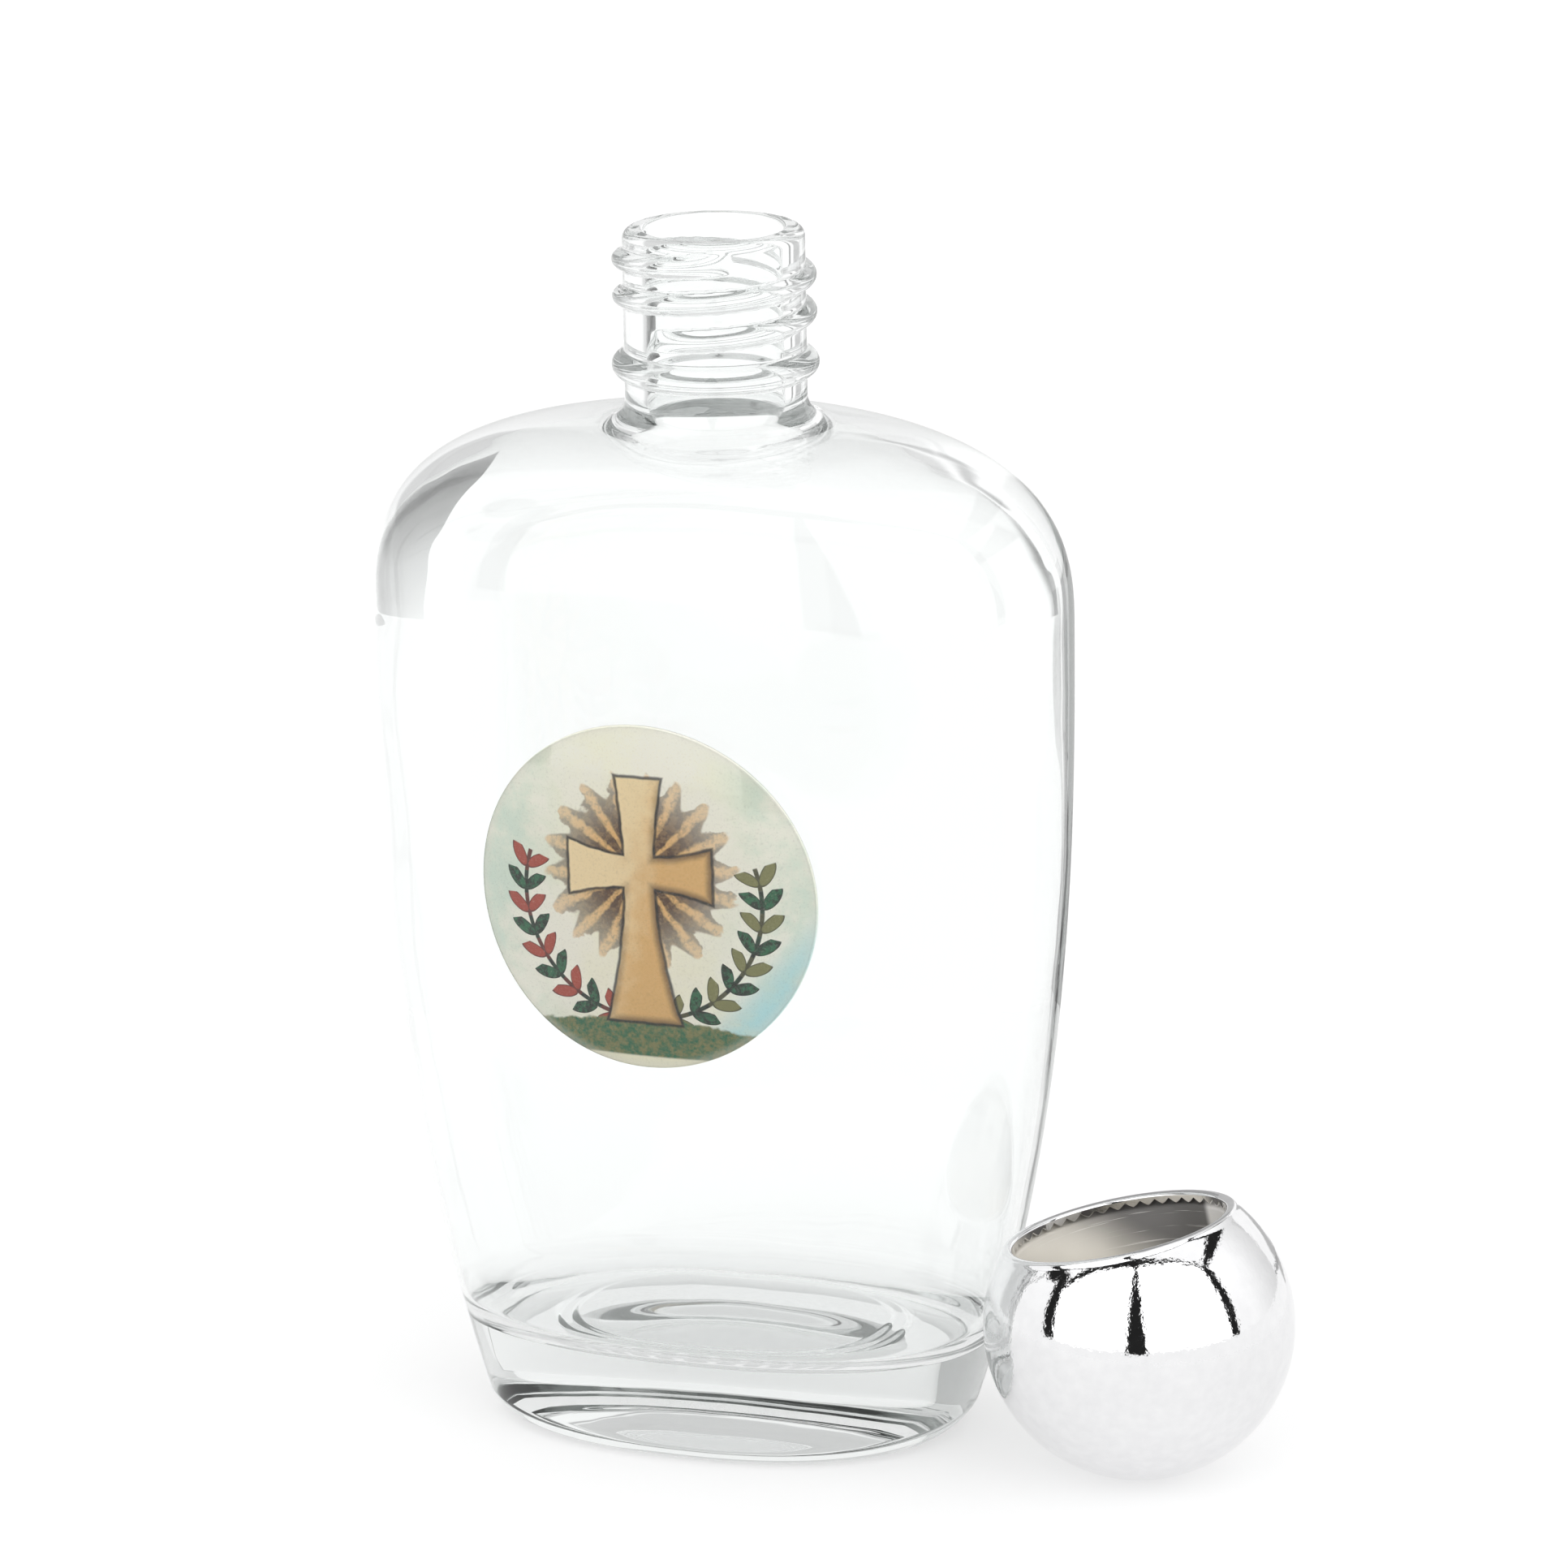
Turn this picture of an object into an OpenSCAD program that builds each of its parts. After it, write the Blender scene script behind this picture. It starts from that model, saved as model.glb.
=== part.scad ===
// Holy water bottle: an oval flask of clear glass with an open screw neck, a round
// domed badge on its front face and a ball-shaped screw cap that lies beside it.
// Millimetres, +Z up. The origin is the centre of the flask's base, on the table.
// The front of the flask faces -Y and its wide way runs along X.

/* [Flask] */
// Height of the glass, from the table to the lip
flask_h = 106; // [98:0.5:125]
// Width over the shoulders, where the flask is widest
shoulder_w = 62.3; // [54:0.1:74]
// Depth over the shoulders, where the flask is deepest
shoulder_d = 38.4; // [32:0.1:46]
// Width of the base
base_w = 42.4; // [36:0.1:52]
// Depth of the base
base_d = 31.6; // [26:0.1:38]
// Rise of the shoulders from the top of the sides to the foot of the neck
shoulder_rise = 15.9; // [12:0.1:18]
// Thickness of the glass wall in the broad faces and over the shoulders
glass_wall = 2.3; // [1.6:0.1:3.2]
// Thickness of the glass wall in the narrow sides, where it is blown thinnest
side_wall = 1.1; // [0.9:0.1:3.2]
// Thickness of the solid glass base
glass_floor = 8.4; // [6:0.1:14]
// Rounding of the edge under the flask
heel_r = 2.2; // [1:0.1:4]
// Rounding of the cavity's lower corner
floor_r = 2.5; // [2:0.1:6]
// Width of the raised oval on the inner floor
plateau_w = 30.8; // [20:0.1:34]
// Depth of the raised oval on the inner floor, front to back
plateau_d = 23; // [12:0.1:26]
// Height of the raised oval above the inner floor
plateau_h = 0.5; // [0.2:0.1:1]
// Width of the oval hollow under the base
punt_w = 30; // [20:0.5:34]
// Depth of the oval hollow under the base, front to back
punt_d = 20; // [12:0.5:22]
// Rise of the hollow under the base
punt_h = 0.9; // [0.5:0.1:3]

/* [Neck] */
// Height of the neck, from the shoulders to the lip
neck_h = 16.9; // [16.5:0.1:24]
// Diameter of the neck's plain wall
neck_d = 15.65; // [14:0.05:17]
// Diameter of the bore through the neck
bore_d = 11.8; // [10:0.1:12.8]
// Diameter over the screw thread
thread_d = 17.5; // [16.8:0.05:19]
// Rise of the thread in one turn
thread_pitch = 3.2; // [2.4:0.05:3.4]
// Turns of thread on the neck
thread_turns = 2.14; // [1:0.02:2.3]
// Width of the thread at its root
thread_w = 2.1; // [1.4:0.1:2.3]
// Distance from the lip down to the thread's upper end
thread_drop = 1.7; // [1.4:0.1:2.4]
// Direction of the thread's upper end, seen from above
thread_end_angle = -58; // [-180:1:180]
// Diameter of the bead below the thread
bead_d = 17.8; // [16.6:0.1:19.2]
// Height of the bead
bead_h = 2.4; // [1.6:0.1:3]
// Distance from the lip down to the middle of the bead
bead_drop = 11.75; // [11:0.05:13]
// Rounding of the lip
lip_r = 0.9; // [0.4:0.05:1.2]
// Rounding where the neck runs into the shoulders
neck_fillet = 2.7; // [1:0.1:3.6]

/* [Badge] */
// Diameter of the round badge
badge_d = 30.2; // [20:0.1:36]
// Distance from the top of the sides down to the badge's middle
badge_drop = 21.35; // [18:0.05:40]
// Thickness of the printed film with its adhesive
film_t = 0.2; // [0.1:0.05:0.5]
// Thickness of the clear dome at its rim
dome_edge = 0.25; // [0.15:0.05:0.6]
// Thickness of the clear dome at its middle
dome_h = 1.7; // [0.8:0.1:2.5]

/* [Cap] */
// Diameter of the ball
ball_d = 26.8; // [25.6:0.1:32]
// Width of the mouth's rim, from the skirt that clears the neck's bead to the ball's outer edge
mouth_rim = 0.9; // [0.7:0.05:1.4]
// Thickness of the metal shell
shell_t = 0.4; // [0.3:0.05:0.6]
// Height of the hem that is folded into the mouth
hem_h = 1; // [0.6:0.1:1.4]
// Thickness of the hem
hem_t = 0.35; // [0.25:0.05:0.5]
// Teeth along the hem's inner edge
hem_teeth = 44; // [24:1:56]
// Play between the cap and the neck, on the radius
cap_clear = 0.25; // [0.15:0.05:0.4]
// Turns of thread inside the cap
cap_thread_turns = 1.5; // [1:0.1:1.6]
// Thickness of the insert's end wall
insert_end = 1; // [0.6:0.1:1.6]
// Thickness of the sealing liner
liner_t = 0.8; // [0.5:0.1:1.4]
// Least gap between the lying ball and the flask's side
cap_gap = 0.3; // [0.3:0.1:20]
// How far the ball lies towards the front
cap_y = -4.85; // [-20:0.05:0]
// Lean of the lying cap towards the flask, in degrees
cap_lean = 12; // [0:1:25]

/* [Hidden] */
$fn = 96;

// Curves of the flask: the power of its oval section, of its shoulders and of its tapering sides
oval_power = 2.3;
shoulder_power = 2.5;
side_power_w = 2.6;
side_power_d = 1.65;

// Steps of the flask's faceted skin
flask_sides = 44;
heel_steps = 3;
side_steps = 7;
shoulder_steps = 8;
shoulder_end = 86;
thread_steps = 32;

// Small gaps and overlaps
seat = 0.05;
sink = 0.4;
past = 1;

neck_r = neck_d / 2;
bore_r = bore_d / 2;
thread_r = thread_d / 2;
foot_z = flask_h - neck_h;
shoulder_z = foot_z - shoulder_rise;
bead_z = flask_h - bead_drop;
// The neck's fillet ends below the bead, and its foot is sunk into the shoulders
fillet_r = min(neck_fillet, bead_z - bead_h / 2 - foot_z);
badge_z = shoulder_z - badge_drop;
ball_r = ball_d / 2;
skirt_r = bead_d / 2 + cap_clear;
mouth_r = skirt_r + mouth_rim;
mouth_z = sqrt(pow(ball_r, 2) - pow(mouth_r, 2));

// The insert is a plain cylinder between the folded hem and the far wall of the ball
shell_in_r = ball_r - shell_t;
insert_top = mouth_z - hem_h - 2 * seat;
insert_low = -insert_top - 2 * seat;
insert_r = sqrt(pow(shell_in_r, 2) - pow(insert_low, 2)) - 3 * seat;
hem_out_r = sqrt(pow(shell_in_r, 2) - pow(mouth_z, 2)) + shell_t / 2;
cap_root_r = thread_r + cap_clear;
cap_crest_r = neck_r + cap_clear;
liner_low = insert_low + insert_end + 2 * seat;
liner_top = liner_low + liner_t;
liner_r = cap_root_r - cap_clear;
// In the closed cap the liner meets the lip, which fixes where the neck's thread and bead come
cap_thread_low = liner_top + thread_drop;
skirt_low = liner_top + thread_drop + thread_pitch * thread_turns + thread_w / 2;

// Half width, or half depth, of the flask at height z between its base and its shoulders
function side_half(z, base, top, power) =
    (top - (top - base) * pow(max(0, 1 - z / shoulder_z), power)) / 2;
function half_w(z) = side_half(z, base_w, shoulder_w, side_power_w);
function half_d(z) = side_half(z, base_d, shoulder_d, side_power_d);

// The lying ball clears the flask's side at every height it reaches
ball_reach = [for (z = [0 : 0.5 : ball_d]) half_w(z) + sqrt(pow(ball_r, 2) - pow(z - ball_r, 2))];
cap_x = max(ball_reach) + cap_gap;

// One oval ring of points at height z
function bent(c, power) = sign(c) * pow(abs(c), 2 / power);
function oval(hw, hd, power, z) = [
    for (j = [0 : flask_sides - 1])
        let (t = 360 * j / flask_sides)
        [hw * bent(cos(t), power), hd * bent(sin(t), power), z]
];

// Rings of the rounded lower corner, of the sides and of the shoulders, inset by the wall. The inset
// is a pair: at the narrow sides and at the broad faces.
outer_skin = [0, 0];
inner_skin = [side_wall, glass_wall];
function corner_rings(low, r, inset) = [
    for (i = [0 : heel_steps])
        let (t = 90 * i / heel_steps, z = low + r * (1 - cos(t)), off = r * (1 - sin(t)))
        oval(half_w(z) - inset[0] - off, half_d(z) - inset[1] - off, oval_power, z)
];
function side_rings(low, inset) = [
    for (i = [1 : side_steps])
        let (z = low + (shoulder_z - low) * i / side_steps)
        oval(half_w(z) - inset[0], half_d(z) - inset[1], oval_power, z)
];
function shoulder_rings(inset, rise, foot) = [
    for (i = [1 : shoulder_steps])
        let (
            u = shoulder_end * i / shoulder_steps,
            in = pow(cos(u), 2 / shoulder_power),
            up = pow(sin(u), 2 / shoulder_power)
        )
        oval(
            foot + (shoulder_w / 2 - inset[0] - foot) * in,
            foot + (shoulder_d / 2 - inset[1] - foot) * in,
            oval_power + (2 - oval_power) * up,
            shoulder_z + rise * up
        )
];

// Rings of the raised oval on the inner floor, which stays inside the rounded corner
function plateau_rings() =
    let (
        off = floor_r + seat,
        hw = min(plateau_w / 2, half_w(glass_floor) - side_wall - off),
        hd = min(plateau_d / 2, half_d(glass_floor) - glass_wall - off)
    )
    [
        oval(hw, hd, oval_power, glass_floor),
        oval(hw - plateau_h, hd - plateau_h, oval_power, glass_floor + plateau_h)
    ];

function reversed(list) = [for (i = [len(list) - 1 : -1 : 0]) list[i]];

// A closed skin over rings of points that run anticlockwise, seen from the last ring
module skin(rings) {
    count = len(rings[0]);
    last = (len(rings) - 1) * count;
    sides = [
        for (i = [0 : len(rings) - 2])
            for (j = [0 : count - 1])
                let (a = i * count + j, b = i * count + (j + 1) % count)
                each [[a, a + count, b + count], [a, b + count, b]]
    ];
    low_end = [for (j = [0 : count - 1]) j];
    high_end = [for (j = [count - 1 : -1 : 0]) last + j];
    polyhedron(points = [for (ring = rings) each ring], faces = concat(sides, [low_end, high_end]));
}

// The flask's body as one cup of glass: up the outside, over a rim inside the neck and down the
// cavity. It starts a little below the table so that the base can be cut flat.
module flask_body() {
    rim_r = bore_r - sink / 2;
    skin(concat(
        [oval(half_w(0) - heel_r, half_d(0) - heel_r, oval_power, -past)],
        corner_rings(0, heel_r, outer_skin),
        side_rings(heel_r, outer_skin),
        shoulder_rings(outer_skin, shoulder_rise, neck_r + sink),
        [oval(rim_r, rim_r, 2, foot_z - glass_wall / 2)],
        reversed(shoulder_rings(inner_skin, shoulder_rise - glass_wall, bore_r)),
        reversed(side_rings(glass_floor + floor_r, inner_skin)),
        reversed(corner_rings(glass_floor, floor_r, inner_skin)),
        plateau_rings()
    ));
}

// The oval hollow under the base
module punt() {
    skin([
        for (i = [0 : heel_steps])
            let (t = 80 * i / heel_steps)
            oval(punt_w / 2 * cos(t), punt_d / 2 * cos(t), oval_power, punt_h * sin(t))
    ]);
    translate([0, 0, -past]) linear_extrude(past + seat) polygon([
        for (q = oval(punt_w / 2, punt_d / 2, oval_power, 0)) [q[0], q[1]]
    ]);
}

// An arc of points about a centre
function arc(cx, cy, r, from, to, steps) = [
    for (i = [0 : steps]) let (t = from + (to - from) * i / steps) [cx + r * cos(t), cy + r * sin(t)]
];

// The neck as a turned solid, with the fillet at its foot, its bead and its rounded lip
module neck_solid() {
    bead_rise = (bead_d - neck_d) / 2;
    bead = [
        for (i = [0 : 8])
            let (t = -90 + 180 * i / 8)
            [neck_r + bead_rise * cos(t), bead_z + bead_h / 2 * sin(t)]
    ];
    neck_low = foot_z - glass_wall * 0.75;
    rotate_extrude() polygon(concat(
        [[0, neck_low], [neck_r + fillet_r, neck_low]],
        arc(neck_r + fillet_r, foot_z + fillet_r - sink, fillet_r, 270, 180, 6),
        bead,
        arc(neck_r - lip_r, flask_h - lip_r, lip_r, 0, 90, 5),
        [[0, flask_h]]
    ));
}

// The bore, eased at the lip
module neck_bore() {
    ease = lip_r / 2;
    translate([0, 0, foot_z - 2 * glass_wall]) cylinder(r = bore_r, h = flask_h - foot_z + 3 * glass_wall);
    rotate_extrude() polygon(concat(
        [[0, flask_h - ease]],
        arc(bore_r + ease, flask_h - ease, ease, 180, 90, 4),
        [[bore_r + ease, flask_h + past], [0, flask_h + past]]
    ));
}

// A right-hand screw thread that climbs from height low, with both ends run out into the wall.
// root and crest are radii, and the thread is sunk into the wall that carries it.
module screw_thread(low, turns, root, crest, width, start_angle) {
    side = sign(crest - root);
    count = ceil(turns * thread_steps);
    skin([
        for (i = [0 : count])
            let (
                turn = turns * i / count,
                fade = min(1, 12 * min(turn, turns - turn) - 0.1),
                t = start_angle + 360 * turn,
                z = low + thread_pitch * turn,
                tip = root + (crest - root) * fade,
                deep = root - side * sink,
                section = [[deep, -width / 2], [deep, width / 2], [tip, width / 5], [tip, -width / 5]],
                turned = side > 0 ? section : reversed(section)
            )
            [for (q = turned) [q[0] * cos(t), q[0] * sin(t), z + q[1]]]
    ]);
}

module bottle_glass() {
    thread_low = flask_h - thread_drop - thread_pitch * thread_turns;
    color([0.86, 0.92, 0.91, 0.45]) difference() {
        union() {
            flask_body();
            neck_solid();
            screw_thread(thread_low, thread_turns, neck_r, thread_r, thread_w,
                thread_end_angle - 360 * thread_turns);
        }
        neck_bore();
        punt();
        translate([-shoulder_w, -shoulder_d, -3 * past]) cube([2 * shoulder_w, 2 * shoulder_d, 3 * past]);
    }
}

// The front face of the flask and its outward direction at a point across and up
function front_y(x, z) = -half_d(z) * pow(1 - pow(abs(x) / half_w(z), oval_power), 1 / oval_power);
function front_out(x, z) =
    let (
        d = 0.05,
        dx = (front_y(x + d, z) - front_y(x - d, z)) / (2 * d),
        dz = (front_y(x, z + d) - front_y(x, z - d)) / (2 * d)
    )
    [dx, -1, dz] / norm([dx, -1, dz]);

// A round layer that lies on the front face. Each pair in shape is a share of the radius
// and the height of the skin above the glass there.
module badge_layer(radius, shape) {
    skin([
        for (q = shape) [
            for (j = [0 : 35])
                let (t = 10 * j, x = radius * q[0] * cos(t), z = badge_z + radius * q[0] * sin(t))
                [x, front_y(x, z), z] + q[1] * front_out(x, z)
        ]
    ]);
}

module label_film() {
    shares = [for (i = [1 : 5]) i / 5];
    low = [for (s = shares) [s, seat]];
    high = [for (i = [4 : -1 : 0]) [shares[i], seat + film_t]];
    color([0.93, 0.88, 0.72]) badge_layer(badge_d / 2, concat(low, high));
}

module label_dome() {
    base = 2 * seat + film_t;
    shares = [0.12, 0.3, 0.5, 0.68, 0.82, 0.92, 1];
    low = [for (s = shares) [s, base]];
    high = [
        for (i = [len(shares) - 1 : -1 : 0])
            [shares[i], base + dome_edge + (dome_h - dome_edge) * (1 - pow(shares[i], 2.5))]
    ];
    color([0.97, 0.98, 1, 0.35]) badge_layer(badge_d / 2 - 2 * seat, concat(low, high));
}

// From the cap's own frame, with the ball's centre at the origin and its mouth up, to the table
module lying() {
    translate([cap_x, cap_y, ball_r]) rotate([0, -cap_lean, 0]) children();
}

// The metal ball, cut open at the mouth, with a toothed hem folded into it
module cap_shell() {
    notch_w = 2 * PI * hem_out_r / hem_teeth / 2;
    color([0.82, 0.83, 0.85]) lying() {
        difference() {
            sphere(r = ball_r);
            sphere(r = shell_in_r);
            translate([0, 0, mouth_z]) cylinder(r = ball_r, h = ball_r);
        }
        difference() {
            translate([0, 0, mouth_z - hem_h]) cylinder(r = hem_out_r, h = hem_h);
            translate([0, 0, mouth_z - 2 * hem_h]) cylinder(r = hem_out_r - hem_t, h = 3 * hem_h);
            for (i = [0 : hem_teeth - 1])
                rotate([0, 0, 360 * i / hem_teeth])
                    translate([hem_out_r - 2 * hem_t, -notch_w / 2, mouth_z - hem_h - past])
                        cube([3 * hem_t, notch_w, past + hem_h * 0.6]);
        }
    }
}

// The threaded insert inside the ball, with a plain skirt that clears the neck's bead
module cap_insert() {
    color([0.72, 0.7, 0.66]) lying() {
        difference() {
            translate([0, 0, insert_low]) cylinder(r = insert_r, h = insert_top - insert_low);
            translate([0, 0, insert_low + insert_end]) cylinder(r = cap_root_r, h = insert_top - insert_low);
            translate([0, 0, skirt_low]) cylinder(r = skirt_r, h = insert_top - insert_low);
        }
        screw_thread(cap_thread_low, cap_thread_turns, cap_root_r, cap_crest_r, thread_w * 0.7, 0);
    }
}

// The soft disc that seals the lip when the cap is screwed down
module cap_liner() {
    color("white") lying() translate([0, 0, liner_low]) cylinder(r = liner_r, h = liner_t);
}

bottle_glass();
label_film();
label_dome();
cap_shell();
cap_insert();
cap_liner();
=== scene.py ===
import math

import bpy
import numpy as np
from mathutils import Matrix, Vector


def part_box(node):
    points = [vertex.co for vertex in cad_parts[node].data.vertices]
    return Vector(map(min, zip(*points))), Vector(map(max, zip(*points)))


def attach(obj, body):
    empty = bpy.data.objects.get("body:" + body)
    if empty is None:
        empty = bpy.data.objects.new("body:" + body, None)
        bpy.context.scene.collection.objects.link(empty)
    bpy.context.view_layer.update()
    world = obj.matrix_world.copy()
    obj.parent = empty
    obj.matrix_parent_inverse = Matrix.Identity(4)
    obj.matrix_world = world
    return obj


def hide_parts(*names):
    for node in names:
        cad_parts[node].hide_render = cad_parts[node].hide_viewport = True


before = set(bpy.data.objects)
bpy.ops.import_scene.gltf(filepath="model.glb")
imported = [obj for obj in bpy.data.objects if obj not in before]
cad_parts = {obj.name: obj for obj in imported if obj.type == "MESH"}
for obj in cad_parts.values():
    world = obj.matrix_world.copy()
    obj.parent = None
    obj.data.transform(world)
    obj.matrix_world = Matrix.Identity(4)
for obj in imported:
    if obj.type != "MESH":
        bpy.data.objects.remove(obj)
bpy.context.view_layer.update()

# A clear glass holy water flask with a printed badge under a clear dome, and its chrome ball cap
# lying beside it. Everything is in metres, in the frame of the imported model.

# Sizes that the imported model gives
GLASS_LOW, GLASS_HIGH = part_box("bottle_glass")
FILM_LOW, FILM_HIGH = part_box("label_film")
BALL_LOW, BALL_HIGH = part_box("cap_shell")
FLASK_H = GLASS_HIGH.z
SHOULDER_W = GLASS_HIGH.x - GLASS_LOW.x
SHOULDER_D = GLASS_HIGH.y - GLASS_LOW.y
BADGE_R = (FILM_HIGH.x - FILM_LOW.x) / 2
BADGE_Z = (FILM_HIGH.z + FILM_LOW.z) / 2
BALL_R = (BALL_HIGH.y - BALL_LOW.y) / 2
BALL_CENTRE = Vector(((BALL_LOW.x + BALL_HIGH.x) / 2, (BALL_LOW.y + BALL_HIGH.y) / 2, BALL_R))

# Flask
BASE_W, BASE_D = 0.0424, 0.0316
SHOULDER_RISE, NECK_H = 0.0159, 0.0169
FOOT_Z = FLASK_H - NECK_H
SHOULDER_Z = FOOT_Z - SHOULDER_RISE
GLASS_WALL, SIDE_WALL, GLASS_FLOOR = 0.0023, 0.0011, 0.0084
OUTER, INNER = (0, 0), (SIDE_WALL, GLASS_WALL)
HEEL_R, FLOOR_R = 0.0022, 0.0025
PLATEAU_W, PLATEAU_D, PLATEAU_H = 0.0308, 0.023, 0.0005
PUNT_W, PUNT_D, PUNT_H = 0.030, 0.020, 0.0009
OVAL_POWER, SHOULDER_POWER = 2.3, 2.5
SIDE_POWER_W, SIDE_POWER_D = 2.6, 1.65
KNURLS, KNURL_H, KNURL_SPREAD = 48, 0.0002, math.radians(48)
PUNT_FLAT, KNURL_FADE, KNURL_EDGE = 0.35, 0.8, 0.3
KNURL_IN, KNURL_OUT = (0.3, 0.42), (0.08, 0.2)
# Steps of the raised oval on the inner floor: share of its height, and where each starts and ends
PLATEAU_STEPS = ((0.55, 0, 0.05), (0.45, 0.09, 0.14))
# Waves of the blown wall: how many round the flask, phase, turn in a metre of height, and share
UNEVEN, WAVES = 0.00014, ((2, 0.6, 95, 1.0), (3, -1.1, -150, 0.7), (5, 2.0, 260, 0.35))

# Neck
NECK_R, BORE_R, NECK_SINK = 0.007825, 0.0059, 0.0004
THREAD_RISE, THREAD_PITCH, THREAD_TURNS = 0.000925, 0.0032, 2.14
THREAD_HALF, THREAD_DROP, THREAD_END = 0.00095, 0.0017, math.radians(-58)
BEAD_RISE, BEAD_HALF, BEAD_DROP = 0.001075, 0.0012, 0.01175
LIP_R, NECK_FILLET, BORE_FLARE = 0.0009, 0.0027, 0.0024
# How far a fillet is pulled along its ends, how the ridges are rounded and how the thread runs out
FILLET_PULL = 0.55
THREAD_ROUND, BEAD_ROUND, THREAD_RUN_OUT = (2.2, 0.85), (2.2, 0.75), (-0.02, 0.1)

# Badge. Its dome is a hair lower than the solid's, to stay within the solid's flat facets
SEAT, FILM_T, DOME_EDGE, DOME_H, DOME_POWER = 0.00005, 0.0002, 0.00025, 0.001695, 2.5

# Cap, in its own frame: the ball's centre at the origin and the mouth up
CAP_LEAN = math.radians(12)
MOUTH_R, SHELL_T, HEM_H, HEM_T, HEM_TEETH = 0.01005, 0.0004, 0.001, 0.00035, 44
FOLD, TOOTH_SHARE, TOOTH_POWER = 0.0003, 0.5, 1.3
INSERT_EASE, LINER_EASE, PRESS_HALF, PRESS_DEEP = 0.00025, 0.0002, 0.0007, 0.0001
MOUTH_Z = math.sqrt(BALL_R ** 2 - MOUTH_R ** 2)
HEM_R = math.sqrt((BALL_R - SHELL_T) ** 2 - MOUTH_Z ** 2) + SHELL_T / 2
INSERT_TOP = MOUTH_Z - HEM_H - 2 * SEAT
INSERT_LIP = MOUTH_Z - 0.5 * HEM_H
INSERT_LOW = -INSERT_TOP - 2 * SEAT
INSERT_R, INSERT_END, SKIRT_R, CAP_ROOT_R = 0.0102, 0.001, 0.00915, 0.009
LINER_LOW, LINER_T, LINER_R = INSERT_LOW + INSERT_END + 2 * SEAT, 0.0008, 0.00875
LINER_TOP = LINER_LOW + LINER_T
CAP_THREAD_TURNS = 1.5
CAP_THREAD_TOP = LINER_TOP + THREAD_DROP + THREAD_PITCH * CAP_THREAD_TURNS
SKIRT_LOW = LINER_TOP + THREAD_DROP + THREAD_PITCH * THREAD_TURNS + THREAD_HALF

# How finely the pieces are divided
SIDES = 6 * KNURLS
BALL_SIDES = 8 * HEM_TEETH
BADGE_SIDES = 180
PUNT_SHARES = (0.04, 0.2, 0.35, 0.5, *np.linspace(0.6, 1, 14))
PLATEAU_SHARES = (*np.linspace(0.985, 0.8, 24), 0.7, 0.55, 0.4, 0.25, 0.1, 0.03)
FLOOR_SHARES = (0.3, 0.6, 0.85, 1)
STAND_RINGS, HEEL_RINGS, BODY_RINGS, SHOULDER_RINGS, FILLET_RINGS = 19, 10, 60, 49, 12
NECK_RINGS, LIP_RINGS, EASE_RINGS, BORE_RINGS, WALL_RINGS, CORNER_RINGS = 130, 9, 7, 24, 70, 14
FILM_RINGS, DOME_RINGS = 40, 44
BALL_RINGS, FOLD_RINGS, HEM_RINGS, SHELL_RINGS, CAP_THREAD_RINGS, PRESS_RINGS = 90, 13, 9, 60, 90, 40
# How near its middle a piece's rings begin: a share of the badge, a radius, an angle from a pole
MIDDLE_SHARE, MIDDLE_R, POLE = 0.02, 0.0005, 0.01


def smooth_step(low, high, value):
    """0 below low, 1 above high, and a smooth rise between them."""
    share = np.clip((value - low) / (high - low), 0, 1)
    return share * share * (3 - 2 * share)


def angles_of(count):
    return np.linspace(0, 2 * np.pi, count, endpoint=False)


def make_mesh(name, rings, place=None):
    """A smooth closed mesh over rings of points, each end closed to its ring's middle."""
    rings = np.asarray(rings, float)
    rows, count, _ = rings.shape
    ends = [rings[0].mean(0), rings[-1].mean(0)]
    points = np.concatenate([rings.reshape(-1, 3), ends])
    if place is not None:
        turn = np.array(place.to_3x3())
        points = points @ turn.T + np.array(place.translation)
    step = np.arange(count)
    after = (step + 1) % count
    faces = []
    for row in range(rows - 1):
        low, high = row * count, (row + 1) * count
        faces += np.stack([low + step, low + after, high + after, high + step], 1).tolist()
    first, last = rows * count, rows * count + 1
    top = (rows - 1) * count
    faces += np.stack([np.full(count, first), after, step], 1).tolist()
    faces += np.stack([np.full(count, last), top + step, top + after], 1).tolist()
    mesh = bpy.data.meshes.new(name)
    mesh.from_pydata(points.tolist(), [], faces)
    mesh.update()
    mesh.shade_smooth()
    piece = bpy.data.objects.new(name, mesh)
    bpy.context.scene.collection.objects.link(piece)
    return piece


def dress(piece, body, node, material):
    """The piece stands for a node, rides on its body and takes its material."""
    piece.data.materials.append(material)
    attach(piece, body)
    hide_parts(node)


# The flask's form


def bent(value, power):
    return np.sign(value) * np.abs(value) ** (2 / power)


def side_half(z, base, top, power):
    return (top - (top - base) * np.maximum(0, 1 - z / SHOULDER_Z) ** power) / 2


def half_w(z):
    return side_half(z, BASE_W, SHOULDER_W, SIDE_POWER_W)


def half_d(z):
    return side_half(z, BASE_D, SHOULDER_D, SIDE_POWER_D)


def oval(wide, deep, power, z):
    turn = angles_of(SIDES)
    x = wide * bent(np.cos(turn), power)
    y = deep * bent(np.sin(turn), power)
    return np.stack([x, y, np.broadcast_to(z, SIDES)], 1)


def shoulder_points(u, inset, rise, foot):
    """Points of the shoulders at the shares u of their curve. The inset is a pair, for sides and faces."""
    along = np.cos(u) ** (2 / SHOULDER_POWER)
    up = np.sin(u) ** (2 / SHOULDER_POWER)
    wide = foot + (SHOULDER_W / 2 - inset[0] - foot) * along
    deep = foot + (SHOULDER_D / 2 - inset[1] - foot) * along
    return oval(wide, deep, OVAL_POWER + (2 - OVAL_POWER) * up, SHOULDER_Z + rise * up)


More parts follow.
